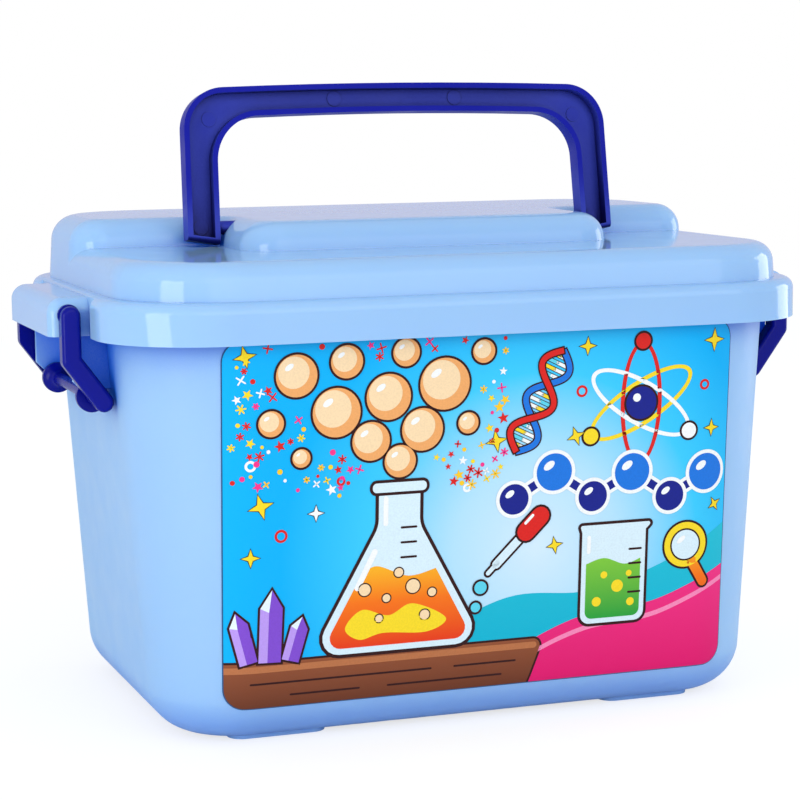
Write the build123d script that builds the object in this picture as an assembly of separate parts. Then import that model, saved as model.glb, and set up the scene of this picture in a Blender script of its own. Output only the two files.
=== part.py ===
"""Carry case for a chemistry set: a tapered tub under a stepped lid, with a folding
U handle on the lid, two swing bail latches on its end ears and a printed label.

Millimetres, +Z up, label side facing -Y. The origin is the centre of the footprint,
on the plane of the feet."""

import os
from math import atan2, degrees, hypot, radians, tan

from build123d import *

# ---- tub ----
floor_length = 254.4          # outer size where the slanting walls would meet the floor plane
floor_width = 172.4
floor_corner_r = 34.0
rim_height = 172.7            # rim top above the feet
rim_corner_r = 52.0           # of the wall, where it meets the rim
wall_draft = 4.0              # degrees, all four walls
heel_r = 20.0                 # rounding between walls and floor
tub_wall = 2.0
rim_overhang = 3.4            # rim flange, outward from the wall
rim_thick = 2.4
rim_lip_height = 8.0          # turned-down lip under the rim flange
rim_lip_thick = 1.5
foot_height = 0.8
foot_root = 1.9               # how far each foot reaches into the floor
foot_length = 40.0
foot_width = 25.0
foot_inner_x = 60.0           # inner end of each foot from the middle
foot_inner_y = 48.0

# ---- lid ----
skirt_corner_r = 44.0
skirt_height = 16.0
lid_wall = 2.0
lid_fit_gap = 0.32            # between the rim flange and the inside of the lid
lid_seat_gap = 0.3            # between the rim top and the underside of the lid's shoulder
shoulder_width = 4.8          # step from the skirt in to the body of the lid, front and back
shoulder_r = 4.5
body_corner_r = 43.0
deck_rise = 14.5              # front deck above the shoulder
crown_rise = 11.5             # raised back and centre block above the front deck
lid_draft = 4.0               # degrees
deck_edge_r = 8.5
crown_edge_r = 11.0
crown_front_y = 10.2          # front wall of the raised back, at its top
crown_corner_r = 14.0
crown_root = 0.5              # the raised part starts this far below the deck's rounding
block_front_y = -42.0
block_corner_r = 17.0
block_root_r = 3.0

# ---- ears on the lid's ends, which carry the latches ----
ear_reach = 14.0              # outward from the skirt
ear_half_width = 41.6
ear_corner_r = 4.2
ear_top_r = 6.0
ear_drop = 1.0                # top of the ears below the shoulder
arm_notch_depth = 2.0         # the skirt steps in beside each ear, behind the latch arms
arm_notch_gap = 1.4           # from a latch arm to the side of its notch
arm_notch_r = 1.5

# ---- carry handle ----
handle_half_width = 94.8      # outer, at the leg ends
handle_splay = 1.2            # each leg, outward from grip to leg end
handle_reach = 58.7           # pivot to the outside of the grip
handle_arch = 1.8             # rise of the grip towards its middle
handle_leg_width = 13.6
handle_side_gap = 2.2         # from each leg to the centre block between them
handle_grip_height = 12.0
handle_depth = 8.0
handle_outer_r = 17.5
handle_inner_r = 19.0
handle_rim = 2.2              # walls of the channel section
handle_web = 2.2
handle_end_drop = 7.0         # leg end below the pivot, at its inner side
handle_end_slant = 2.2        # how much shorter the outer side is
handle_end_r = 2.0            # leg ends, front edge, which passes over the deck
handle_heel_r = 1.0           # leg ends, back edge, which stops on the deck
handle_lean = 8.0             # degrees backwards, as it stands
handle_pivot_y = 1.4
handle_pivot_rise = 7.5       # pivot above the front deck
handle_pin_r = 2.8
handle_pin_length = 8.5
eject_mark_r = 3.1
eject_mark_height = 0.3
grip_mark_x = 27.0            # ejector marks in the channel: two along the grip,
grip_mark_in = 5.8            # this far in from its outside,
corner_mark_in = 13.0         # one in each corner, in from the side
corner_mark_down = 13.7       # and down from the top,
leg_mark_in = 7.0             # and one at each leg end, in from the side
leg_mark_up = 0.4             # and above the pivot

# ---- latches ----
latch_pivot_in = 7.5          # from the ear's outer face
latch_pivot_up = 8.4          # from the skirt's lower edge
latch_arm_thick = 6.5         # along Y
latch_arm_width = 7.6
latch_arm_gap = 1.0           # to the ear's end face
latch_arm_root = 1.0          # how far the pins and the bar reach into the arms
latch_straight = 17.5         # pivot down to the bend
latch_toe_in = 12.2           # pivot to the centre of the arm's lower end, inward
latch_toe_drop = 34.2         # and downward
latch_edge_r = 1.9
latch_collar_r = 4.3          # disc round each pin, between arm and ear
latch_collar_thick = 0.7
latch_pin_r = 2.9
latch_pin_end = 0.3           # the pins' ends inside the ear's end wall
pin_clearance = 0.05          # radial, pins in their holes
bar_r = 2.5
bar_drop = 33.0               # pivot down to the bar
bobbin_r = 6.4
bobbin_gap = 0.4              # between the bobbin flanges and the tub's end wall
bobbin_side_gap = 1.4         # from each bobbin to the catch plate beside it
bobbin_flange_thick = 2.4
bobbin_flare = 5.0
bobbin_flare_sag = 0.85       # how hollow the flare is

# ---- catch plates on the tub's ends ----
catch_plate_thick = 2.5
catch_plate_gap = 0.6         # to the inside of the ear's end wall
catch_reach = 4.5             # outward past the skirt
catch_play = 0.9              # bar to the plates' lower edges
catch_root = 1.3              # how far the plates reach up behind the rim's lip
catch_chamfer = 3.0

# ---- label ----
label_side_gap = 20.6         # from the ends of the floor's outline
label_top_gap = 4.2           # below the rim's lip
label_lift = 15.5             # lower edge above the feet
label_corner_r = 8.5
label_thick = 0.25


def tub_half_length(z):
    return floor_length / 2 + z * tan(radians(wall_draft))


def tub_half_width(z):
    return floor_width / 2 + z * tan(radians(wall_draft))


# ---- worked out from the sizes above ----
floor_z = foot_height
flange_length = 2 * (tub_half_length(rim_height) + rim_overhang)
flange_width = 2 * (tub_half_width(rim_height) + rim_overhang)
flange_corner_r = skirt_corner_r - lid_wall - lid_fit_gap
flange_edge_r = shoulder_r - lid_wall - lid_seat_gap
skirt_length = flange_length + 2 * (lid_fit_gap + lid_wall + arm_notch_depth)
skirt_width = flange_width + 2 * (lid_fit_gap + lid_wall)
skirt_z = rim_height + lid_seat_gap + lid_wall - skirt_height
shoulder_z = skirt_z + skirt_height
deck_z = shoulder_z + deck_rise
crown_z = deck_z + crown_rise
body_length = skirt_length - 2 * (arm_notch_depth + shoulder_width)
body_width = skirt_width - 2 * shoulder_width
block_half_width = handle_half_width - handle_leg_width - handle_side_gap
pivot_z = deck_z + handle_pivot_rise
eject_marks = (
    (grip_mark_x, handle_reach - grip_mark_in),
    (handle_half_width - corner_mark_in, handle_reach - corner_mark_down),
    (handle_half_width - leg_mark_in, leg_mark_up),
)
ear_x = skirt_length / 2 + ear_reach
arm_y = ear_half_width + latch_arm_gap
arm_notch_x = skirt_length / 2 - arm_notch_depth
arm_notch_y = arm_y + latch_arm_thick + arm_notch_gap
latch_x = ear_x - latch_pivot_in
latch_z = skirt_z + latch_pivot_up
bar_z = latch_z - bar_drop
bar_x = tub_half_length(bar_z) + bobbin_gap + bobbin_r
catch_plate_y = ear_half_width - lid_wall - catch_plate_gap
bobbin_flange_y = catch_plate_y - catch_plate_thick - bobbin_side_gap
label_length = floor_length - 2 * label_side_gap
label_height = rim_height - rim_lip_height - label_top_gap - label_lift


def rounded_slab(length, width, radius, z, height, draft=0.0):
    """A rounded rectangle that rises by height, each side leaning in by draft degrees."""
    inset = height * tan(radians(draft))
    low = Pos(0, 0, z) * RectangleRounded(length, width, radius)
    high = Pos(0, 0, z + height) * RectangleRounded(
        length - 2 * inset, width - 2 * inset, radius - inset
    )
    return loft([low, high], ruled=True)


# ---------------------------------------------------------------- tub


def tub_form(inset, bottom, top):
    """The tub's slanting form, drawn in by inset, with its heel rounded."""
    def section(z, radius):
        return Pos(0, 0, z) * RectangleRounded(
            2 * (tub_half_length(z) - inset), 2 * (tub_half_width(z) - inset), radius - inset
        )

    slope_r = (rim_corner_r - floor_corner_r) / rim_height
    form = loft(
        [
            section(bottom, floor_corner_r + slope_r * bottom),
            section(top, floor_corner_r + slope_r * top),
        ],
        ruled=True,
    )
    heel = form.faces().sort_by(Axis.Z)[0].edges()
    return fillet(heel, heel_r - inset)


def catch_plate():
    """One side plate of the +X catch: it stands out from the end wall, and the
    latch's bar hooks under it."""
    outer_x = skirt_length / 2 + catch_reach
    lower_z = bar_z + bar_r + catch_play
    root_x = tub_half_length(lower_z) - tub_wall / 2
    top = rim_height - rim_lip_height + catch_root
    outline = Polyline(
        (root_x, lower_z),
        (outer_x - catch_chamfer, lower_z),
        (outer_x, lower_z + catch_chamfer),
        (outer_x, top),
        (root_x, top),
        close=True,
    )
    face = Plane.XZ.offset(catch_plate_y - catch_plate_thick) * make_face(outline)
    return extrude(face, catch_plate_thick)


def make_tub():
    tub = tub_form(0, floor_z, rim_height)
    lip_z = rim_height - rim_lip_height
    flange = rounded_slab(flange_length, flange_width, flange_corner_r, lip_z, rim_lip_height)
    flange = fillet(flange.faces().sort_by(Axis.Z)[-1].edges(), flange_edge_r)
    flange -= rounded_slab(
        flange_length - 2 * rim_lip_thick, flange_width - 2 * rim_lip_thick,
        flange_corner_r - rim_lip_thick, lip_z, rim_lip_height - rim_thick,
    )
    tub += flange
    plates = catch_plate() + mirror(catch_plate(), Plane.XZ)
    tub = tub + plates + mirror(plates, Plane.YZ)
    tub -= tub_form(tub_wall, floor_z + tub_wall, rim_height + tub_wall)
    foot = extrude(
        RectangleRounded(foot_length, foot_width, foot_width / 4), foot_height + foot_root
    )
    for x in (-1, 1):
        for y in (-1, 1):
            tub += Pos(
                x * (foot_inner_x + foot_length / 2), y * (foot_inner_y + foot_width / 2), 0
            ) * foot
    return tub


# ---------------------------------------------------------------- lid


def crown_outline(inset, level):
    """Plan of the raised back and the centre block, at a level below the crown's top."""
    spread = (crown_z - level) * tan(radians(lid_draft))
    half_length = body_length / 2 - (crown_z - shoulder_z) * tan(radians(lid_draft)) + spread
    half_width = half_length - (body_length - body_width) / 2
    corner_r = body_corner_r - body_length / 2 + half_length
    front_y = crown_front_y + inset - spread
    back = RectangleRounded(
        2 * (half_length - inset), 2 * (half_width - inset), corner_r - inset
    )
    back -= Pos(0, front_y - half_width) * Rectangle(4 * half_length, 2 * half_width)
    back = fillet(
        back.vertices().filter_by(lambda v: abs(v.Y - front_y) < 0.01),
        crown_corner_r - inset + spread,
    )
    block_half = block_half_width - inset + spread
    block_y = block_front_y + inset - spread
    depth = crown_front_y + 2 * block_corner_r - block_y
    outline = back + Pos(0, block_y + depth / 2) * RectangleRounded(
        2 * block_half, depth, block_corner_r - inset + spread
    )
    roots = outline.vertices().filter_by(
        lambda v: abs(v.Y - front_y) < 0.01 and abs(abs(v.X) - block_half) < 0.01
    )
    return fillet(roots, block_root_r + inset - spread)


def crown_form(inset):
    """The raised back and centre block, reaching down past the deck's edge."""
    level = deck_z - deck_edge_r - crown_root - inset
    form = extrude(
        Pos(0, 0, level) * crown_outline(inset, level + inset),
        crown_z - inset - level, taper=lid_draft,
    )
    return fillet(form.faces().sort_by(Axis.Z)[-1].edges(), crown_edge_r - inset)


def ear_form(inset, bottom):
    """Both ears in one bar across the lid, with rounded top edges."""
    top = shoulder_z - ear_drop - inset
    form = Pos(0, 0, bottom) * extrude(
        RectangleRounded(2 * (ear_x - inset), 2 * (ear_half_width - inset), ear_corner_r - inset),
        top - bottom,
    )
    return fillet(form.faces().sort_by(Axis.Z)[-1].edges(), ear_top_r - inset)


def skirt_form(inset, bottom):
    """The skirt with its rounded shoulder, stepped in at both ends behind the arms."""
    top = shoulder_z - inset
    skirt = rounded_slab(
        skirt_length - 2 * inset, skirt_width - 2 * inset, skirt_corner_r - inset,
        bottom, top - bottom,
    )
    skirt = fillet(skirt.faces().sort_by(Axis.Z)[-1].edges(), shoulder_r - inset)
    step = Box(ear_reach, 2 * (arm_notch_y + inset), 4 * skirt_height)
    for x in (-1, 1):
        skirt -= Pos(x * (arm_notch_x - inset + ear_reach / 2), 0, top) * step
    if not inset:
        corners = skirt.edges().filter_by(Axis.Z).filter_by(
            lambda e: abs(abs(e.center().Y) - arm_notch_y) < 0.01
            and abs(abs(e.center().X) - skirt_length / 2) < 0.01
        )
        skirt = fillet(corners, arm_notch_r)
    return skirt


def lid_form(inset):
    """The lid as one solid: skirt, ears, body and crown, all drawn in by inset."""
    bottom = skirt_z - inset
    body = rounded_slab(
        body_length - 2 * inset, body_width - 2 * inset, body_corner_r - inset,
        shoulder_z - inset, deck_rise, lid_draft,
    )
    body = fillet(body.faces().sort_by(Axis.Z)[-1].edges(), deck_edge_r - inset)
    return skirt_form(inset, bottom) + ear_form(inset, bottom) + body + crown_form(inset)


def make_lid():
    lid = lid_form(0) - lid_form(lid_wall)
    hinge_hole = Cylinder(handle_pin_r + pin_clearance, 4 * lid_wall, rotation=(0, 90, 0))
    latch_hole = Cylinder(latch_pin_r + pin_clearance, 3 * lid_wall, rotation=(90, 0, 0))
    for x in (-1, 1):
        lid -= Pos(x * (block_half_width - lid_wall), handle_pivot_y, pivot_z) * hinge_hole
        for y in (-1, 1):
            lid -= Pos(x * latch_x, y * (ear_half_width - lid_wall / 2), latch_z) * latch_hole
    return lid


# ---------------------------------------------------------------- handle


def handle_outline():
    """Face of the U, standing on its pivot axis."""
    outer, inner = handle_half_width, handle_half_width - handle_leg_width
    outer_top, inner_top = outer - handle_splay, inner - handle_splay
    under = handle_reach - handle_grip_height
    face = make_face(
        [
            Line((-outer, handle_end_slant - handle_end_drop),
                 (-outer_top, handle_reach - handle_arch)),
            ThreePointArc((-outer_top, handle_reach - handle_arch), (0, handle_reach),
                          (outer_top, handle_reach - handle_arch)),
            Line((outer_top, handle_reach - handle_arch),
                 (outer, handle_end_slant - handle_end_drop)),
            Line((outer, handle_end_slant - handle_end_drop), (inner, -handle_end_drop)),
            Line((inner, -handle_end_drop), (inner_top, under - handle_arch)),
            ThreePointArc((inner_top, under - handle_arch), (0, under),
                          (-inner_top, under - handle_arch)),
            Line((-inner_top, under - handle_arch), (-inner, -handle_end_drop)),
            Line((-inner, -handle_end_drop), (-outer, handle_end_slant - handle_end_drop)),
        ]
    )
    face = fillet(face.vertices().filter_by(
        lambda v: v.Y > handle_grip_height and abs(v.X) > inner), handle_outer_r)
    return fillet(face.vertices().filter_by(
        lambda v: v.Y > handle_grip_height and abs(abs(v.X) - inner_top) < 0.01
        and v.Y < under), handle_inner_r)


def make_handle():
    outline = handle_outline()
    front = Plane.XZ.offset(handle_depth / 2)
    solid = extrude(front * outline, -handle_depth)
    for side, radius in ((-1, handle_end_r), (1, handle_heel_r)):
        ends = solid.edges().filter_by(
            lambda e: abs(e.center().Y - side * handle_depth / 2) < 0.01
            and abs(e.center().Z - (handle_end_slant / 2 - handle_end_drop)) < 0.01
        )
        solid = fillet(ends, radius)
    channel = offset(outline, -handle_rim)
    solid -= extrude(front * channel, handle_web - handle_depth)
    mark = Cylinder(eject_mark_r, 2 * eject_mark_height, rotation=(90, 0, 0))
    web_y = handle_depth / 2 - handle_web
    for x in (-1, 1):
        for mark_x, mark_z in eject_marks:
            solid += Pos(x * mark_x, web_y, mark_z) * mark
        inner_x = handle_half_width - handle_leg_width + handle_rim / 2
        solid += Pos(x * (inner_x - handle_pin_length / 2), 0, 0) * Cylinder(
            handle_pin_r, handle_pin_length, rotation=(0, 90, 0)
        )
    return Pos(0, handle_pivot_y, pivot_z) * Rot(-handle_lean, 0, 0) * solid


# ---------------------------------------------------------------- latch


def arm_link(x1, z1, x2, z2):
    """Round-ended bar face between two points of the arm's centre line."""
    length = hypot(x2 - x1, z2 - z1)
    turn = degrees(atan2(z2 - z1, x2 - x1))
    return Pos((x1 + x2) / 2, (z1 + z2) / 2) * Rot(0, 0, turn) * SlotCenterToCenter(
        length, latch_arm_width
    )


def bobbin_flange():
    """One flange of the +Y half: flat outside, flaring in to the bar on its inner side."""
    rim_y = bobbin_flange_y - bobbin_flange_thick
    profile = make_face([
        Line((0, bobbin_flange_y), (bobbin_r, bobbin_flange_y)),
        Line((bobbin_r, bobbin_flange_y), (bobbin_r, rim_y)),
        ThreePointArc(
            (bobbin_r, rim_y),
            ((bobbin_r + bar_r) / 2 - bobbin_flare_sag,
             rim_y - bobbin_flare / 2 + bobbin_flare_sag),
            (bar_r, rim_y - bobbin_flare),
        ),
        Line((bar_r, rim_y - bobbin_flare), (0, rim_y - bobbin_flare)),
        Line((0, rim_y - bobbin_flare), (0, bobbin_flange_y)),
    ])
    return revolve(profile, Axis.Y)


def make_latch():
    """The latch of the +X end."""
    bend_z = latch_z - latch_straight
    face = arm_link(latch_x, latch_z, latch_x, bend_z) + arm_link(
        latch_x, bend_z, latch_x - latch_toe_in, latch_z - latch_toe_drop
    )
    arm = extrude(Plane.XZ.offset(-arm_y - latch_arm_thick) * face, latch_arm_thick)
    arm = fillet(arm.faces().sort_by(Axis.Y)[-1].edges(), latch_edge_r)
    for radius, reach in (
        (latch_pin_r, latch_arm_gap + lid_wall + latch_pin_end),
        (latch_collar_r, latch_collar_thick),
    ):
        arm += Pos(latch_x, arm_y + (latch_arm_root - reach) / 2, latch_z) * Cylinder(
            radius, latch_arm_root + reach, rotation=(90, 0, 0)
        )
    half = arm + Pos(bar_x, 0, bar_z) * bobbin_flange()
    half += Pos(bar_x, (arm_y + latch_arm_root) / 2, bar_z) * Cylinder(
        bar_r, arm_y + latch_arm_root, rotation=(90, 0, 0)
    )
    return half + mirror(half, Plane.XZ)


# ---------------------------------------------------------------- label


def make_label():
    """Thin sheet that follows the tub's front, round the start of its corners."""
    sheet = tub_form(-label_thick, floor_z - label_thick, rim_height) - tub_form(
        0, floor_z, rim_height + label_thick
    )
    window = Plane.XZ * Pos(0, label_lift + label_height / 2) * RectangleRounded(
        label_length, label_height, label_corner_r
    )
    return sheet & extrude(window, floor_width)


def main():
    os.makedirs("parts", exist_ok=True)
    right = make_latch()
    pieces = {
        "tub": make_tub(),
        "front_label": make_label(),
        "lid": make_lid(),
        "carry_handle": make_handle(),
        "latch_left": mirror(right, Plane.YZ),
        "latch_right": right,
    }
    for name, piece in pieces.items():
        export_step(piece, f"parts/{name}.step")


main()
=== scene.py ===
"""Carry case for a chemistry set: materials, printed label, studio light and camera.

Metres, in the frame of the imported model: +X right, label side facing -Y, +Z up.
The artwork on the label is laid out in millimetres, x and z as seen from the front."""
import math
import random

import bmesh
import bpy
from mathutils import Matrix, Vector
from mathutils.bvhtree import BVHTree
from mathutils.geometry import tessellate_polygon


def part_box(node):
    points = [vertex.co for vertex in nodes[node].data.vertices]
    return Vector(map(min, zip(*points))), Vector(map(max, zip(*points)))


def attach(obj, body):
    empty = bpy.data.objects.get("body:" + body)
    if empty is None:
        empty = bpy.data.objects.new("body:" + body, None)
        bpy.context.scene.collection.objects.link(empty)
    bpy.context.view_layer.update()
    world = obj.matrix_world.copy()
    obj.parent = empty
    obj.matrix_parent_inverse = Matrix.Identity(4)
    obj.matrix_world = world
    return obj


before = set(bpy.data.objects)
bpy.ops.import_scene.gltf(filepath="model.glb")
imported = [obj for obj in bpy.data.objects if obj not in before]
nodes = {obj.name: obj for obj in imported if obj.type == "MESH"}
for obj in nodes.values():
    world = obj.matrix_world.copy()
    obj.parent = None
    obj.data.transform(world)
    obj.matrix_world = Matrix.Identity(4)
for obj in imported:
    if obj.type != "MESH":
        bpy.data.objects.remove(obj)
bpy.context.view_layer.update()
MM = 0.001


# ------------------------------------------------------------ materials

plastic_ior = 1.49
skin_depth = 0.004              # how far light is carried under the plastic's skin
skin_colour = (0.4, 0.7, 1.0)
noise_stops = (0.3, 0.7)        # the part of a noise's range that its two colours span
cloud_noise = (9.0, 2.0)        # scale and detail: flow clouds in the colour,
polish_noise = (60.0, 4.0)      # slight changes of roughness, by the two factors,
polish_factors = (0.8, 1.25)
peel_noise = (140.0, 2.0)       # and the orange-peel surface
peel_strength = 0.014
peel_depth = 0.0003
painted_shade_reach = 0.03               # how far off a surface still brings painted shade
painted_shade_samples = 8
floor_fade_top = 0.07           # below this height the painted shade gets weaker, down to this share of it on the floor
floor_fade_share = 0.3          # down to this share of it on the floor
smooth_angle = 35.0             # degrees; sharper edges stay sharp
weld_distance = 0.00001


def linear(r, g, b):
    """An 8-bit display colour as the linear one that a shader takes."""
    def one(v):
        v /= 255
        return v / 12.92 if v <= 0.04045 else ((v + 0.055) / 1.055) ** 2.4
    return one(r), one(g), one(b), 1.0


def grey(v):
    return v, v, v, 1.0


class Material:
    """A Principled material whose nodes are added one by one."""

    def __init__(self, name, **values):
        self.material = bpy.data.materials.new(name)
        self.material.use_nodes = True
        self.tree = self.material.node_tree
        self.shader = self.tree.nodes["Principled BSDF"]
        for socket, value in values.items():
            self.shader.inputs[socket.replace("_", " ")].default_value = value

    def add(self, kind, **settings):
        node = self.tree.nodes.new(kind)
        for key, value in settings.items():
            setattr(node, key, value)
        return node

    def link(self, source, target):
        self.tree.links.new(source, target)

    def combine(self, kind, operation, *entries):
        """A maths node; each entry is an output socket or a plain value."""
        node = self.add(kind, operation=operation)
        for entry, socket in zip(entries, node.inputs):
            if isinstance(entry, bpy.types.NodeSocket):
                self.link(entry, socket)
            else:
                socket.default_value = entry
        return node

    def place(self):
        """The object's own coordinates, in metres."""
        return self.add("ShaderNodeTexCoord").outputs["Object"]

    def noise(self, scale, detail):
        """Noise in the object's own coordinates, so that it stays on the piece."""
        noise = self.add("ShaderNodeTexNoise")
        noise.inputs["Scale"].default_value = scale
        noise.inputs["Detail"].default_value = detail
        self.link(self.place(), noise.inputs["Vector"])
        return noise.outputs["Fac"]

    def ramp(self, factor, places, colours):
        """Colours with their alpha along a factor, at rising places from 0 to 1."""
        ramp = self.add("ShaderNodeValToRGB")
        stops = ramp.color_ramp.elements
        while len(stops) < len(colours):
            stops.new(0.5)
        for index, (place, colour) in enumerate(zip(places, colours)):
            stops[index].position = place
            stops[index].color = colour
        self.link(factor, ramp.inputs["Fac"])
        return ramp

    def bump(self, height, strength, distance):
        bump = self.add("ShaderNodeBump")
        bump.inputs["Strength"].default_value = strength
        bump.inputs["Distance"].default_value = distance
        self.link(height, bump.inputs["Height"])
        self.link(bump.outputs["Normal"], self.shader.inputs["Normal"])


def moulded_plastic(name, colour, tint, painted_shade_stops, roughness, gloss, glow):
    """Polypropylene: faint flow clouds in the colour, slight polish changes and a soft
    orange-peel surface, with a little light carried under the skin. Shade is painted into
    the colour where the surroundings close in, found by ambient occlusion:
    painted_shade_stops lists how open the surroundings are, from 0 to 1, with the painted
    shade colour there and, as its alpha, how far that colour goes. The painted shade is
    weaker near the floor."""
    made = Material(
        name, IOR=plastic_ior, Specular_IOR_Level=gloss, Subsurface_Weight=glow,
        Subsurface_Scale=skin_depth, Subsurface_Radius=skin_colour,
    )
    shade = made.ramp(made.noise(*cloud_noise), noise_stops, (tint, colour))
    # painted shade: ambient occlusion tells how closed in each spot is, and the ramp below
    # paints the shade colour there
    openness = made.add("ShaderNodeAmbientOcclusion", samples=painted_shade_samples)
    openness.inputs["Distance"].default_value = painted_shade_reach
    painted_shade = made.ramp(
        openness.outputs["AO"], [open_by for open_by, painted_colour, share in painted_shade_stops],
        [(*painted_colour[:3], share) for open_by, painted_colour, share in painted_shade_stops],
    )
    height = made.add("ShaderNodeSeparateXYZ")
    made.link(made.place(), height.inputs[0])
    off_floor = made.add("ShaderNodeMapRange")
    off_floor.inputs["From Max"].default_value = floor_fade_top
    off_floor.inputs["To Min"].default_value = floor_fade_share
    made.link(height.outputs["Z"], off_floor.inputs["Value"])
    share = made.combine(
        "ShaderNodeMath", "MULTIPLY", painted_shade.outputs["Alpha"], off_floor.outputs["Result"]
    )
    blend = made.add("ShaderNodeMix", data_type="RGBA")
    made.link(share.outputs["Value"], blend.inputs["Factor"])
    made.link(shade.outputs["Color"], blend.inputs["A"])
    made.link(painted_shade.outputs["Color"], blend.inputs["B"])
    made.link(blend.outputs["Result"], made.shader.inputs["Base Color"])
    shine = made.ramp(
        made.noise(*polish_noise), noise_stops,
        [grey(roughness * factor) for factor in polish_factors],
    )
    made.link(shine.outputs["Color"], made.shader.inputs["Roughness"])
    made.bump(made.noise(*peel_noise), peel_strength, peel_depth)
    return made.material


# azure painted shade for the light blue shell: darker and more saturated in nooks, under the lid
# and between the parts
shell, shell_tint, azure_painted_shade = linear(160, 200, 242), linear(154, 195, 240), linear(18, 108, 232)
shell_gloss = moulded_plastic(
    "shell_gloss", shell, shell_tint, painted_shade_stops=[(0.08, azure_painted_shade, 1), (0.5, azure_painted_shade, 0)],
    roughness=0.07, gloss=0.42, glow=0.25,
)
shell_satin = moulded_plastic(
    "shell_satin", shell, shell_tint, painted_shade_stops=[(0.34, azure_painted_shade, 1), (0.9, azure_painted_shade, 0)],
    roughness=0.42, gloss=0.3, glow=0.25,
)
# painted shade for the navy parts in their deepest nooks, and a lighter, greyer painted sheen on
# the handle's channel floor, standing in for its reflection
navy_painted_shade, channel_painted_sheen = linear(6, 8, 76), linear(54, 66, 172)
navy_latch = moulded_plastic(
    "navy_latch", linear(5, 15, 142), linear(4, 12, 130),
    painted_shade_stops=[(0.1, navy_painted_shade, 1), (0.5, navy_painted_shade, 0)],
    roughness=0.24, gloss=0.17, glow=0.05,
)
navy_handle = moulded_plastic(
    "navy_handle", linear(8, 20, 154), linear(6, 16, 142),
    painted_shade_stops=[(0.34, navy_painted_shade, 1), (0.47, channel_painted_sheen, 1), (0.72, channel_painted_sheen, 1), (0.92, channel_painted_sheen, 0)],
    roughness=0.4, gloss=0.12, glow=0.05,
)


def smooth_group():
    """Joins split vertices and smooths every edge flatter than the smooth angle."""
    group = bpy.data.node_groups.new("smooth_by_angle", "GeometryNodeTree")
    group.interface.new_socket("Geometry", in_out="INPUT", socket_type="NodeSocketGeometry")
    group.interface.new_socket("Geometry", in_out="OUTPUT", socket_type="NodeSocketGeometry")
    start = group.nodes.new("NodeGroupInput")
    end = group.nodes.new("NodeGroupOutput")
    merge = group.nodes.new("GeometryNodeMergeByDistance")
    merge.inputs["Distance"].default_value = weld_distance
    faces = group.nodes.new("GeometryNodeSetShadeSmooth")
    edges = group.nodes.new("GeometryNodeSetShadeSmooth")
    edges.domain = "EDGE"
    angle = group.nodes.new("GeometryNodeInputMeshEdgeAngle")
    compare = group.nodes.new("FunctionNodeCompare")
    compare.operation = "LESS_THAN"
    compare.inputs["B"].default_value = math.radians(smooth_angle)
    link = group.links.new
    link(start.outputs[0], merge.inputs["Geometry"])
    link(merge.outputs[0], faces.inputs["Geometry"])
    link(faces.outputs[0], edges.inputs["Geometry"])
    link(angle.outputs["Unsigned Angle"], compare.inputs["A"])
    link(compare.outputs[0], edges.inputs["Shade Smooth"])
    link(edges.outputs[0], end.inputs[0])
    return group


smoothing = smooth_group()


def dress(node, material):
    """Gives a CAD node its finish and smooth shading."""
    piece = nodes[node]
    piece.data.materials.clear()
    piece.data.materials.append(material)
    piece.modifiers.new("smooth", "NODES").node_group = smoothing
    piece.modifiers.new("normals", "WEIGHTED_NORMAL").keep_sharp = True


dress("tub", shell_satin)
dress("lid", shell_gloss)
dress("carry_handle", navy_handle)
dress("latch_left", navy_latch)
dress("latch_right", navy_latch)


# ------------------------------------------------------------ printing inks

film = {"Roughness": 0.2, "IOR": 1.5, "Specular_IOR_Level": 0.2}    # clear, over every ink
grain_noise = (1500.0, 1.0)     # scale and detail of the printing grain
grain_stops = (0.35, 0.65)
grain_shade = 0.97              # the grain's darker colour, as a share of the ink's
grain_depth = 0.00005


def printed(name, base, tint, relief=0.0):
    """Ink under a gloss film: the colour wavers by a fine printing grain, which may also
    show as relief in the surface."""
    made = Material(name, **film)
    grain = made.noise(*grain_noise)
    shade = made.ramp(grain, grain_stops, (tint, base))
    made.link(shade.outputs["Color"], made.shader.inputs["Base Color"])
    if relief:
        made.bump(grain, relief, grain_depth)
    return made.material


def ink(name, colour):
    """One even ink."""
    return printed(name, linear(*colour), linear(*(v * grain_shade for v in colour)))


def fading_ink(name, colours, centre, spread, outward=False):
    """Ink that fades through colours from the centre upward, or outward all round, over a
    spread in millimetres."""
    made = Material(name, **film)
    origin = (centre[0] * MM, 0, centre[1] * MM)
    shift = made.combine("ShaderNodeVectorMath", "SUBTRACT", made.place(), origin)
    axes = (1, 0, 1) if outward else (0, 0, 1)
    offset = made.combine("ShaderNodeVectorMath", "MULTIPLY", shift.outputs["Vector"], axes)
    if outward:
        reach = made.combine("ShaderNodeVectorMath", "LENGTH", offset.outputs["Vector"])
    else:
        reach = made.combine(
            "ShaderNodeVectorMath", "DOT_PRODUCT", offset.outputs["Vector"], (1, 1, 1)
        )
    share = made.combine("ShaderNodeMath", "DIVIDE", reach.outputs["Value"], spread * MM)
    shade = made.ramp(
        share.outputs["Value"], [index / (len(colours) - 1) for index in range(len(colours))],
        [linear(*colour) for colour in colours],
    )
    made.link(shade.outputs["Color"], made.shader.inputs["Base Color"])
    return made.material


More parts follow.
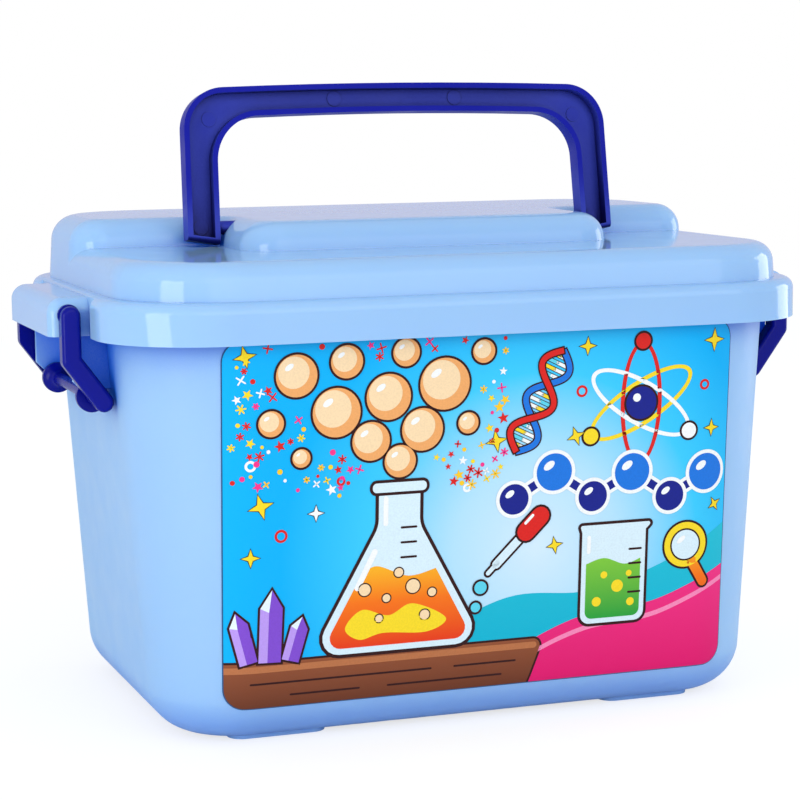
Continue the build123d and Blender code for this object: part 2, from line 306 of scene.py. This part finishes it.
inks = {name: ink("ink_" + name, colour) for name, colour in {
    "mist": (236, 247, 253),
    "pink": (255, 140, 186),
    "line": (52, 20, 20),
    "white": (252, 252, 250),
    "wood_light": (190, 116, 72),
    "glass": (222, 242, 250),
    "yellow": (255, 222, 40),
    "cream": (255, 222, 176),
    "apricot": (246, 172, 104),
    "red": (226, 36, 30),
    "navy": (24, 34, 138),
    "blue": (30, 120, 222),
    "aqua": (96, 214, 236),
    "violet": (132, 78, 206),
    "lilac": (192, 156, 240),
}.items()}
for name, colours, foot, spread in (
    ("teal", [(0, 176, 206), (40, 198, 214)], 20, 80),
    ("magenta", [(228, 20, 108), (250, 54, 138)], 16, 55),
    ("wood", [(104, 52, 32), (152, 84, 52)], 14, 22),
    ("orange", [(232, 40, 20), (250, 118, 20), (255, 204, 40)], 34, 42),
    ("green", [(40, 160, 60), (150, 214, 60)], 40, 36),
):
    inks[name] = fading_ink("ink_" + name, colours, centre=(0, foot), spread=spread)
inks["sky"] = fading_ink(
    "ink_sky", [(214, 236, 250), (182, 226, 248), (60, 202, 248), (0, 178, 244)],
    centre=(22, 72), spread=106, outward=True,
)


# ------------------------------------------------------------ outlines to draw with

sharp = 0.01                    # a corner with a smaller radius isn't rounded
short = 1e-6                    # a shorter edge has no direction
hairpin = 0.2                   # below this sum of its edges' normals a corner turns back
mitre = 0.6                     # the least cosine at a corner, so that it sticks out no further
curve_steps = 10                # from one knot to the next


def turned(points, x, z, tilt):
    """Points turned by tilt degrees about the origin, which then goes to x, z."""
    c, s = math.cos(math.radians(tilt)), math.sin(math.radians(tilt))
    return [(x + a * c - b * s, z + a * s + b * c) for a, b in points]


def oval(x, z, wide, high, tilt, count=64):
    """An ellipse by its half width and half height."""
    step = 2 * math.pi / count
    ring = [(wide * math.cos(i * step), high * math.sin(i * step)) for i in range(count)]
    return turned(ring, x, z, tilt)


def disc(x, z, radius, count=40):
    return oval(x, z, radius, radius, 0, count)


def bar(x1, z1, x2, z2, width, count=8):
    """A straight stroke with round ends."""
    lean = math.atan2(z2 - z1, x2 - x1)
    points = []
    for x, z, start in ((x2, z2, lean - math.pi / 2), (x1, z1, lean + math.pi / 2)):
        for i in range(count + 1):
            a = start + math.pi * i / count
            points.append((x + width / 2 * math.cos(a), z + width / 2 * math.sin(a)))
    return points


def ribbon(points, width):
    """A line of one width along the points, with square ends."""
    sides = []
    for i, point in enumerate(points):
        run = Vector(points[min(i + 1, len(points) - 1)]) - Vector(points[max(i - 1, 0)])
        off = Vector((-run.y, run.x)).normalized() * width / 2
        sides.append((Vector(point) + off, Vector(point) - off))
    return [tuple(a) for a, b in sides] + [tuple(b) for a, b in reversed(sides)]


def sparkle(x, z, reach, points, waist, tilt):
    """A star with straight sides; its waist is a share of its reach."""
    step, start = math.pi / points, math.pi / 2 + math.radians(tilt)
    star = []
    for i in range(2 * points):
        r, a = reach * waist if i % 2 else reach, start + i * step
        star.append((x + r * math.cos(a), z + r * math.sin(a)))
    return star


def rounded(corners, radius, count=6):
    """A polygon with every corner rounded; radius may be one size or one for each corner."""
    radii = radius if isinstance(radius, (list, tuple)) else [radius] * len(corners)
    points = []
    for i, corner in enumerate(corners):
        here, r = Vector(corner), radii[i]
        if r < sharp:
            points.append(tuple(here))
            continue
        before = (Vector(corners[i - 1]) - here).normalized()
        after = (Vector(corners[(i + 1) % len(corners)]) - here).normalized()
        half = before.angle(after) / 2
        centre = here + (before + after).normalized() * (r / math.sin(half))
        a = here + before * (r / math.tan(half)) - centre
        b = here + after * (r / math.tan(half)) - centre
        sweep = math.atan2(a.cross(b), a.dot(b))
        for step in range(count + 1):
            points.append(tuple(centre + Matrix.Rotation(sweep * step / count, 2) @ a))
    return points


def curve(knots, closed=False):
    """A smooth line through the knots."""
    last = len(knots) - 1
    points = []
    for i in range(len(knots) if closed else last):
        p = [
            Vector(knots[(i + k) % len(knots) if closed else min(max(i + k, 0), last)])
            for k in (-1, 0, 1, 2)
        ]
        for step in range(curve_steps):
            t = step / curve_steps
            points.append(tuple(0.5 * (
                2 * p[1] + (p[2] - p[0]) * t + (2 * p[0] - 5 * p[1] + 4 * p[2] - p[3]) * t * t
                + (3 * p[1] - 3 * p[2] + p[3] - p[0]) * t * t * t
            )))
    if not closed:
        points.append(tuple(knots[-1]))
    return points


def grown(points, width):
    """The closed outline moved outward by width, for a drawn contour."""
    area = sum(a[0] * b[1] - b[0] * a[1] for a, b in zip(points, points[1:] + points[:1]))
    side = 1 if area > 0 else -1
    out = []
    for i, point in enumerate(points):
        before, after = Vector(points[i - 1]), Vector(points[(i + 1) % len(points)])
        first, second = Vector(point) - before, after - Vector(point)
        if first.length < short or second.length < short:
            continue
        n1 = Vector((first.y, -first.x)).normalized() * side
        n2 = Vector((second.y, -second.x)).normalized() * side
        middle = n1 + n2
        if middle.length < hairpin:
            middle = n1
        middle.normalize()
        out.append(tuple(Vector(point) + middle * (width / max(middle.dot(n1), mitre))))
    return out


def filled(surface, low_left, low_right, round_r):
    """A liquid: its surface line on top, and the two low corners rounded."""
    ends = rounded([surface[-1], low_right, low_left, surface[0]], (0, round_r, round_r, 0))
    return surface + ends[1:-1]


# ------------------------------------------------------------ printing on the label


class Print:
    """Flat shapes laid over the label's front in thin layers, each clipped to the label.
    Its sizes are in millimetres."""

    first_lift = 0.09      # of layer 0 off the label
    layer_step = 0.03
    strip = 3.0            # width of the strips that let a shape bend with the wall
    straight = 84.0        # half width of the label's flat middle
    heel_top = 23.0        # below this the wall bends in to the floor,
    heel_strip = 1.0       # and the strips that follow it are this high
    sliver = 1e-9          # a smaller triangle is left out
    past_border = 1e-6     # a point has to be this far out to be clipped

    def __init__(self, node, margin, radius):
        low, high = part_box(node)
        x0, z0 = self.low = (low[0] / MM + margin, low[2] / MM + margin)
        x1, z1 = self.high = (high[0] / MM - margin, high[2] / MM - margin)
        self.border = rounded([(x0, z0), (x1, z0), (x1, z1), (x0, z1)], radius - margin, 10)
        self.cuts = []
        for i in range(int((x1 - self.straight) / self.strip) + 1):
            x = self.straight + i * self.strip
            self.cuts += [(Vector((-x, 0, 0)), Vector((1, 0, 0))),
                          (Vector((x, 0, 0)), Vector((1, 0, 0)))]
        for i in range(int((self.heel_top - z0) / self.heel_strip) + 1):
            z = self.heel_top - i * self.heel_strip
            self.cuts.append((Vector((0, 0, z)), Vector((0, 0, 1))))
        piece = nodes[node]
        self.tree = BVHTree.FromPolygons(
            [piece.matrix_world @ v.co for v in piece.data.vertices],
            [list(p.vertices) for p in piece.data.polygons],
        )
        self.mesh = bmesh.new()
        self.inks = []

    def shape(self, points, name, layer, outline=0.0):
        """Adds a filled shape; with an outline its drawn contour goes one layer below."""
        if outline:
            self.shape(grown(points, outline), "line", layer - 1)
        if name not in self.inks:
            self.inks.append(name)
        part = bmesh.new()
        verts = [part.verts.new((x, 0, z)) for x, z in points]
        for triangle in tessellate_polygon([[Vector((x, z, 0)) for x, z in points]]):
            a, b, c = corners = [verts[i] for i in triangle]
            if (b.co - a.co).cross(c.co - a.co).length > self.sliver:
                part.faces.new(corners)
        self.clip(part)
        self.cut(part)
        copied = {
            vert: self.mesh.verts.new(self.onto(vert.co.x, vert.co.z, layer))
            for vert in part.verts
        }
        for face in part.faces:
            made = self.mesh.faces.new([copied[vert] for vert in face.verts])
            made.material_index = self.inks.index(name)
            made.smooth = True
            made.normal_update()
            if made.normal.y > 0:
                made.normal_flip()
        part.free()

    def clip(self, part):
        """Cuts away what reaches past the label's rounded border."""
        for a, b in zip(self.border, self.border[1:] + self.border[:1]):
            place, normal = Vector((a[0], 0, a[1])), Vector((b[1] - a[1], 0, a[0] - b[0]))
            if normal.length > short and any(
                (v.co - place).dot(normal) > self.past_border for v in part.verts
            ):
                self.split(part, place, normal, clear_outer=True)

    def cut(self, part):
        """Divides the shape where the wall bends towards the corners and the floor."""
        for place, normal in self.cuts:
            reach = [(v.co - place).dot(normal) for v in part.verts]
            if min(reach) < 0 < max(reach):
                self.split(part, place, normal)

    @staticmethod
    def split(part, place, normal, **options):
        whole = part.verts[:] + part.edges[:] + part.faces[:]
        bmesh.ops.bisect_plane(part, geom=whole, plane_co=place, plane_no=normal, **options)

    def onto(self, x, z, layer):
        """The place on the label's front, lifted by the layer."""
        start = Vector((x * MM, -1, z * MM))
        hit, normal = self.tree.ray_cast(start, Vector((0, 1, 0)))[:2]
        return hit + normal * (self.first_lift + self.layer_step * layer) * MM

    def piece(self, name):
        """All the shapes as one object, with a material slot for each ink."""
        data = bpy.data.meshes.new(name)
        self.mesh.to_mesh(data)
        made = bpy.data.objects.new(name, data)
        for used in self.inks:
            data.materials.append(inks[used])
        bpy.context.scene.collection.objects.link(made)
        return made


label_film = printed("label_film", linear(40, 90, 135), linear(36, 84, 128), relief=0.1)
dress("front_label", label_film)

# layers of the drawing, from the back; an outline lies one below its shape
SKY, FAR_HILL, NEAR_HILL, STRIPE, BACK, DETAIL, BODY, INSIDE, OVER, UPPER, TOP = range(11)
# widths of the outlines
bold, firm, contour, light, thin, fine, hair = 1.4, 1.2, 0.9, 0.6, 0.5, 0.35, 0.3
mark_width = 0.9                # measuring marks
glint_tilt = 35                 # degrees

art = Print("front_label", margin=0.45, radius=8.5)
(left, bottom), (right_end, top) = art.low, art.high


def glint(x, z, radius, layer, off, size):
    """A ball's highlight: how far up and to the left, and its half sizes, as shares of the
    ball's radius."""
    art.shape(oval(
        x - off[0] * radius, z + off[1] * radius, size[0] * radius, size[1] * radius,
        glint_tilt, count=20,
    ), "white", layer)


art.shape(art.border, "sky", SKY)

# two hills that sweep up to the right, past the border that clips them
hill_foot, hill_end = bottom - 2, right_end + 4
crest = curve([(-70, 22), (-30, 36), (10, 52), (46, 52), (80, 62), (hill_end, 78)])
art.shape(crest + [(hill_end, hill_foot), (-70, hill_foot)], "teal", FAR_HILL)
slope = curve([(-12, bottom - 3), (16, 31), (44, 42), (76, 46), (hill_end, 60)])
art.shape(slope + [(hill_end, hill_foot), (-12, hill_foot)], "magenta", NEAR_HILL)
stripe_drop, stripe_width, stripe_from = 4.6, 2.0, 8
stripe = [(x, z - stripe_drop) for x, z in slope[stripe_from:]]
art.shape(stripe + [(x, z - stripe_width) for x, z in reversed(stripe)], "pink", STRIPE)

# wooden bench along the lower left
bench_start, bench_end, bench_foot, bench_top, bench_edge = left - 3, 26.0, bottom - 3, 34.0, 2.6
art.shape(rounded([
    (bench_start, bench_foot), (bench_end - 8, bench_foot),
    (bench_end, bench_top), (bench_start, bench_top),
], (0, 0, 3, 0)), "wood", BACK, contour)
edge_z = bench_top - bench_edge
art.shape(bar(bench_start, edge_z, bench_end - 4, edge_z, bench_edge), "wood_light", DETAIL)
for z, start, end in ((25.6, -96, -22), (25.6, -12, 14), (20.4, -80, -52), (20.4, -40, 8)):
    art.shape(bar(start, z, end, z, 0.8), "line", DETAIL)

# large conical flask on the bench
flask_x, flask_foot, flask_shoulder, flask_top = -36.0, 34.6, 85.0, 99.0
base_half, mouth_half = 36.0, 8.5
glass_gap, fill_top, fill_foot = 3.4, 66.0, flask_foot + 2.4


def fill_half(z):
    """Half the liquid's width at the height z."""
    taper = (base_half - mouth_half) / (flask_shoulder - flask_foot)
    return base_half - glass_gap - (z - flask_foot) * taper


art.shape(rounded([
    (flask_x - base_half, flask_foot), (flask_x + base_half, flask_foot),
    (flask_x + mouth_half, flask_shoulder), (flask_x + mouth_half, flask_top),
    (flask_x - mouth_half, flask_top), (flask_x - mouth_half, flask_shoulder),
], (7, 7, 12, 0.1, 0.1, 12)), "glass", BODY, bold)
wave = curve([
    (flask_x - fill_half(fill_top), fill_top), (flask_x - 9, fill_top + 3.2),
    (flask_x + 4, fill_top - 1.6), (flask_x + fill_half(fill_top), fill_top + 0.6),
])
art.shape(filled(
    wave, (flask_x - fill_half(fill_foot), fill_foot),
    (flask_x + fill_half(fill_foot), fill_foot), 4.5,
), "orange", INSIDE)
art.shape(curve([
    (flask_x - 22, 45), (flask_x - 15, 52), (flask_x - 4, 49), (flask_x + 6, 53),
    (flask_x + 20, 46), (flask_x + 12, 41), (flask_x - 6, 42), (flask_x - 16, 40),
], closed=True), "yellow", OVER)
for x, z, r in (
    (-50, 60, 2.4), (-41, 56, 1.6), (-30, 60, 2.8), (-22, 57, 1.7), (-36, 66, 1.8),
    (-44, 48, 1.5), (-25, 48, 2.0),
):
    art.shape(disc(x, z, r, count=20), "cream", UPPER, thin)
lip_half, lip_low, lip_high = mouth_half + 2.6, flask_top - 0.6, flask_top + 3.2
art.shape(rounded([
    (flask_x - lip_half, lip_low), (flask_x + lip_half, lip_low),
    (flask_x + lip_half, lip_high), (flask_x - lip_half, lip_high),
], 1.7), "glass", OVER, firm)
art.shape(bar(flask_x - 5.6, flask_top - 3, flask_x - 5.6, flask_top - 13, 2.0), "white", OVER)
art.shape(bar(flask_x - 10, flask_top - 24, flask_x - 17, flask_top - 38, 2.4), "white", OVER)
for z in (72, 78, 84):
    art.shape(bar(flask_x + 1, z, flask_x + 7, z, mark_width), "line", OVER)

# bubbles that rise from its mouth
bubbles = (
    (-36, 110.5, 6.4), (-48, 119, 7.6), (-27, 122.5, 8.4), (-62, 131, 9.6), (-41, 136, 9.0),
    (-18, 140, 10.2), (-78, 146, 8.2), (-58, 150.5, 6.4), (-34, 153, 5.4), (-88, 128, 5.0),
    (-2, 152, 4.6), (-8, 124, 4.2), (-76, 114, 3.6),
)
for x, z, r in bubbles:
    art.shape(disc(x, z, r), "apricot", OVER, contour)
    art.shape(disc(x - 0.14 * r, z + 0.16 * r, 0.76 * r), "cream", UPPER)
    glint(x, z, r, TOP, off=(0.36, 0.42), size=(0.24, 0.13))

# atom with three orbits, each drawn as two half rings
atom_x, atom_z, nucleus_r, electron_r = 66.0, 128.0, 6.6, 3.2
for tilt, name in ((90, "red"), (30, "yellow"), (-30, "white")):
    outer = oval(atom_x, atom_z, 25.0, 9.0, tilt)
    inner = oval(atom_x, atom_z, 23.2, 7.2, tilt)
    half = len(outer) // 2
    for start in (0, half):
        run = [i % len(outer) for i in range(start, start + half + 1)]
        art.shape([outer[i] for i in run] + [inner[i] for i in reversed(run)], name, BACK)
for x, z, name in ((0, 25, "red"), (-21.6, -12.5, "yellow"), (21.6, -12.5, "white")):
    art.shape(disc(atom_x + x, atom_z + z, electron_r, count=24), name, BODY, contour)
art.shape(disc(atom_x, atom_z, nucleus_r), "navy", BODY, contour)
art.shape(disc(atom_x - 2.0, atom_z + 2.2, 1.7, count=20), "white", INSIDE)

# chain of balls and links
chain = [(12, 92), (29, 102), (46, 91), (63, 100), (80, 89), (96, 98)]
link_rim_width, link_width, ball_rim = 6.2, 3.4, 1.5
for (x1, z1), (x2, z2) in zip(chain, chain[1:]):
    art.shape(bar(x1, z1, x2, z2, link_rim_width), "white", BACK)
    art.shape(bar(x1, z1, x2, z2, link_width), "navy", DETAIL)
for i, (x, z) in enumerate(chain):
    r, name = (7.6, "blue") if i % 2 else (6.2, "navy")
    art.shape(disc(x, z, r + ball_rim), "white", BODY)
    art.shape(disc(x, z, r), name, INSIDE)
    glint(x, z, r, OVER, off=(0.3, 0.36), size=(0.34, 0.2))

# beaker on the hill
beaker_x, beaker_z, beaker_half, beaker_neck, beaker_top = 56.0, 38.0, 14.0, 38, 41
beaker_fill = beaker_half - 2
art.shape(rounded([
    (beaker_x - beaker_half, beaker_z), (beaker_x + beaker_half, beaker_z),
    (beaker_x + beaker_half, beaker_z + beaker_neck),
    (beaker_x + beaker_half + 3, beaker_z + beaker_top),
    (beaker_x - beaker_half - 1, beaker_z + beaker_top),
    (beaker_x - beaker_half, beaker_z + beaker_neck),
], (4, 4, 0.1, 0.8, 0.8, 0.1)), "glass", BODY, firm)
level = curve([
    (beaker_x - beaker_fill, beaker_z + 25), (beaker_x - 4, beaker_z + 27),
    (beaker_x + 5, beaker_z + 24), (beaker_x + beaker_fill, beaker_z + 26),
])
art.shape(filled(
    level, (level[0][0], beaker_z + 2), (level[-1][0], beaker_z + 2), 3.0
), "green", INSIDE)
for x, z, r in ((-7, 9, 2.0), (2, 15, 2.6), (8, 8, 1.7), (-4, 20, 1.5), (7, 20, 1.3)):
    art.shape(disc(beaker_x + x, beaker_z + z, r, count=20), "yellow", OVER)
for rise in (12, 18, 24, 30):
    z = beaker_z + rise
    art.shape(bar(beaker_x + 7, z, beaker_x + 12, z, mark_width), "line", OVER)
art.shape(bar(beaker_x - 11, beaker_z + 30, beaker_x - 11, beaker_z + 36, 1.6), "white", OVER)

# twisted ladder between the bubbles and the atom
ladder_x, ladder_z, ladder_lean = 22.0, 131.0, 64
ladder_long, ladder_half, ladder_turns = 44.0, 6.2, 1.5
rungs, least_rung, rung_width, strand_width, strand_steps = 16, 4, 1.3, 2.3, 48


def on_ladder(t, phase):
    """The point of a strand at t, from 0 at one end to 1 at the other."""
    out_by = ladder_half * math.sin(2 * math.pi * ladder_turns * t + phase)
    return turned([((t - 0.5) * ladder_long, out_by)], ladder_x, ladder_z, ladder_lean)[0]


for i in range(1, rungs):
    (x1, z1), (x2, z2) = on_ladder(i / rungs, 0), on_ladder(i / rungs, math.pi)
    if math.hypot(x2 - x1, z2 - z1) > least_rung:
        x, z, name = (x1 + x2) / 2, (z1 + z2) / 2, "yellow" if i % 2 else "aqua"
        art.shape(bar(x1, z1, x, z, rung_width), name, BACK, hair)
        art.shape(bar(x, z, x2, z2, rung_width), "white", BACK, hair)
for phase, name, layer in ((math.pi, "blue", BODY), (0, "red", OVER)):
    strand = [on_ladder(i / strand_steps, phase) for i in range(strand_steps + 1)]
    art.shape(ribbon(strand, strand_width), name, layer, light)

# crystals at the bench's left end
crystal_foot = 35
for x, wide, high, tilt in ((-97, 7, 20, 14), (-80, 7, 17, -16), (-88.5, 9, 28, -2)):
    half, ridge, shoulder, facet_top = wide / 2, -wide * 0.1, high * 0.74, high * 0.68
    form = [(-half, -1), (half, -1), (half, shoulder), (0, high), (-half, shoulder)]
    facet = [(-half, -1), (ridge, -1), (ridge, facet_top), (-half, shoulder)]
    tip = [(-half, shoulder), (ridge, facet_top), (0, high)]
    for points, name, layer, outline in (
        (form, "violet", BODY, contour), (facet, "lilac", INSIDE, 0), (tip, "mist", INSIDE, 0)
    ):
        art.shape(turned(points, x, crystal_foot, tilt), name, layer, outline)

# dropper and its drops
for ends, width, name, layer, outline in (
    ((5, 66, 17, 78), 3.4, "glass", BODY, contour),             # barrel
    ((1.6, 62.6, 5.5, 66.5), 1.8, "glass", BODY, contour),      # tip
    ((17.5, 78.5, 23.5, 84.5), 7.6, "red", OVER, contour),      # bulb
    ((17.2, 82, 20.2, 85), 1.2, "white", UPPER, 0),             # the bulb's highlight
):
    art.shape(bar(*ends, width), name, layer, outline)
for x, z, r in ((-1.5, 57.0, 2.6), (-3.5, 49.0, 2.0)):
    art.shape(disc(x, z, r, count=24), "aqua", OVER, contour)

# small magnifier at the right
lens_x, lens_z = 88.0, 68.0
art.shape(bar(lens_x + 3, lens_z - 7, lens_x + 8.5, lens_z - 16, 4.2), "orange", BODY, contour)
for r, name, layer, outline in (
    (9.4, "yellow", BODY, contour), (6.8, "line", INSIDE, 0), (6.1, "glass", OVER, 0)
):
    art.shape(disc(lens_x, lens_z, r), name, layer, outline)
art.shape(oval(lens_x - 2, lens_z + 2.2, 2.2, 1.0, 40, count=20), "white", UPPER)

# sparkles
for x, z, r, name, tilt in (
    (4, 116, 4.4, "yellow", 10), (42, 152, 3.6, "yellow", 0), (38, 116, 3.8, "yellow", 20),
    (98, 152, 4.6, "yellow", 0), (-98, 154, 4.2, "yellow", 12), (98, 116, 3.4, "yellow", 0),
    (-92, 96, 5.0, "yellow", 15), (-70, 92, 3.2, "white", 0), (22, 84, 3.0, "white", 0),
    (101, 84, 3.0, "yellow", 30), (-96, 76, 3.6, "yellow", 0), (30, 72, 3.4, "yellow", 10),
):
    art.shape(sparkle(x, z, r, points=4, waist=0.34, tilt=tilt), name, DETAIL, fine)

# rings
ring_wall = 1.0
for x, z, r, name in (
    (-84, 84, 2.6, "red"), (40, 134, 2.4, "red"), (94, 134, 2.2, "red"),
    (-96, 112, 2.2, "white"), (-8, 98, 1.8, "white"), (46, 76, 1.8, "white"),
    (-60, 104, 1.8, "red"),
):
    art.shape(disc(x, z, r, count=24), name, BACK)
    art.shape(disc(x, z, r - ring_wall, count=20), "sky", DETAIL)

# confetti thrown up with the bubbles: dots, stars, dashes and crosses
chance = random.Random(11)
confetti_count, confetti_gap, confetti_r, bubble_gap = 96, 2.4, 0.6, 1.6
least_x, most_x, least_z, most_z = left + 3, 8, 96, top - 3
placed = [(x, z, r + bubble_gap) for x, z, r in bubbles]
while len(placed) < len(bubbles) + confetti_count:
    turn, far = chance.uniform(0.06, 0.94) * math.pi, 20 + 66 * chance.random() ** 0.8
    x, z = flask_x + far * math.cos(turn) * 1.1, 94 + far * math.sin(turn)
    if not (least_x <= x <= most_x and least_z <= z <= most_z):
        continue
    if any(math.hypot(x - a, z - b) < c + confetti_gap for a, b, c in placed):
        continue
    placed.append((x, z, confetti_r))
    name = chance.choice(("red", "orange", "yellow", "white", "red", "magenta"))
    size, spin, kind = chance.uniform(0.8, 1.5), chance.uniform(0, 90), chance.randrange(4)
    if kind == 0:
        art.shape(disc(x, z, size * 0.8, count=14), name, DETAIL)
    elif kind == 1:
        art.shape(sparkle(x, z, size * 1.7, points=5, waist=0.42, tilt=spin), name, DETAIL)
    else:
        for arm in range(kind):
            lean = math.radians(spin + 180 * arm / kind)
            run, rise = size * 1.3 * math.cos(lean), size * 1.3 * math.sin(lean)
            art.shape(bar(x - run, z - rise, x + run, z + rise, 0.6, count=3), name, DETAIL)

artwork = art.piece("label_artwork")
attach(artwork, "tub")


# ------------------------------------------------------------ studio

floor_size = 3.0
paper_colour = (0.80, 0.81, 0.83, 1)        # as it lights the case
shadow_colour = (0.36, 0.355, 0.35, 1)      # as the camera sees it: the part that takes shadow,
floor_glow = 0.72                           # and the part that doesn't


def by_ray(tree, light, mirrored, seen):
    """Mixes three shaders: the light that it gives, how glossy and transmitted rays meet it,
    and how the camera sees it."""
    path = tree.nodes.new("ShaderNodeLightPath")
    either = tree.nodes.new("ShaderNodeMath")
    either.operation = "MAXIMUM"
    tree.links.new(path.outputs["Is Glossy Ray"], either.inputs[0])
    tree.links.new(path.outputs["Is Transmission Ray"], either.inputs[1])
    result = light
    for factor, shader in ((either.outputs[0], mirrored), (path.outputs["Is Camera Ray"], seen)):
        mix = tree.nodes.new("ShaderNodeMixShader")
        for source, target in zip((factor, result, shader), mix.inputs):
            tree.links.new(source, target)
        result = mix.outputs[0]
    return result


bpy.ops.mesh.primitive_plane_add(size=floor_size)
floor = bpy.context.object
floor.name = "floor"
paper = Material("floor_paper", Base_Color=paper_colour, Roughness=1.0, Specular_IOR_Level=0.0)
shaded = paper.add("ShaderNodeBsdfDiffuse")
shaded.inputs["Color"].default_value = shadow_colour
bright = paper.add("ShaderNodeEmission")
bright.inputs["Strength"].default_value = floor_glow
shown = paper.add("ShaderNodeAddShader")
paper.link(shaded.outputs[0], shown.inputs[0])
paper.link(bright.outputs[0], shown.inputs[1])
paper.link(
    by_ray(paper.tree, paper.shader.outputs[0], paper.shader.outputs[0], shown.outputs[0]),
    paper.tree.nodes["Material Output"].inputs["Surface"],
)
floor.data.materials.append(paper.material)

world = bpy.data.worlds.new("studio")
bpy.context.scene.world = world
world.use_nodes = True
tree = world.node_tree
tree.nodes.clear()
out = tree.nodes.new("ShaderNodeOutputWorld")


def background(colour, strength):
    node = tree.nodes.new("ShaderNodeBackground")
    node.inputs["Color"].default_value = colour
    node.inputs["Strength"].default_value = strength
    return node.outputs[0]


fill = background(colour=(0.90, 0.95, 1, 1), strength=0.82)
backdrop = background(colour=(0.81, 0.80, 1, 1), strength=0.78)
white = background(colour=(1, 1, 1, 1), strength=1.0)
tree.links.new(by_ray(tree, fill, backdrop, white), out.inputs["Surface"])


def softbox(name, place, target, width, height, radiance):
    """A rectangular lamp; radiance is how bright it looks, where white paper is 1."""
    data = bpy.data.lights.new(name, "AREA")
    data.shape = "RECTANGLE"
    data.size, data.size_y = width, height
    data.energy = radiance * math.pi * width * height
    lamp = bpy.data.objects.new(name, data)
    lamp.location = place
    lamp.rotation_mode = "QUATERNION"
    lamp.rotation_quaternion = (Vector(target) - Vector(place)).to_track_quat("-Z", "Y")
    bpy.context.scene.collection.objects.link(lamp)


softbox(
    "front_key", place=(0.12, -1.45, 0.70), target=(0, 0, 0.15),
    width=1.8, height=1.1, radiance=0.98,
)
softbox(
    "left_strip", place=(-0.82, -0.44, 0.22), target=(0, 0, 0.22),
    width=0.36, height=0.5, radiance=4.0,
)
softbox(
    "right_strip", place=(1.0, 0.12, 0.25), target=(0, 0, 0.25),
    width=0.42, height=0.5, radiance=2.8,
)


# ------------------------------------------------------------ camera

# fitted to the outline of the case in the photograph
yaw, pitch, roll = math.radians(19.53), math.radians(8.592), math.radians(-0.574)
distance = 1.0165
aim = Vector((0, 0, 0.1))
image = 800                     # pixels
focal_px = 2364.0
centre_px = (406.2, 448.8)
sensor = 36                     # millimetres

forward = Vector((
    math.sin(yaw) * math.cos(pitch), math.cos(yaw) * math.cos(pitch), -math.sin(pitch)
))
right = Vector((math.cos(yaw), -math.sin(yaw), 0))
up = right.cross(forward)
right, up = (
    math.cos(roll) * right + math.sin(roll) * up,
    math.cos(roll) * up - math.sin(roll) * right,
)
lens = bpy.data.cameras.new("camera")
lens.sensor_width = sensor
lens.lens = sensor * focal_px / image
lens.shift_x = -(centre_px[0] - image / 2) / image
lens.shift_y = (centre_px[1] - image / 2) / image
camera = bpy.data.objects.new("camera", lens)
camera.matrix_world = Matrix.Translation(aim - distance * forward) @ Matrix(
    (right, up, -forward)
).transposed().to_4x4()
bpy.context.scene.collection.objects.link(camera)
bpy.context.scene.camera = camera
bpy.context.scene.view_settings.view_transform = "Standard"
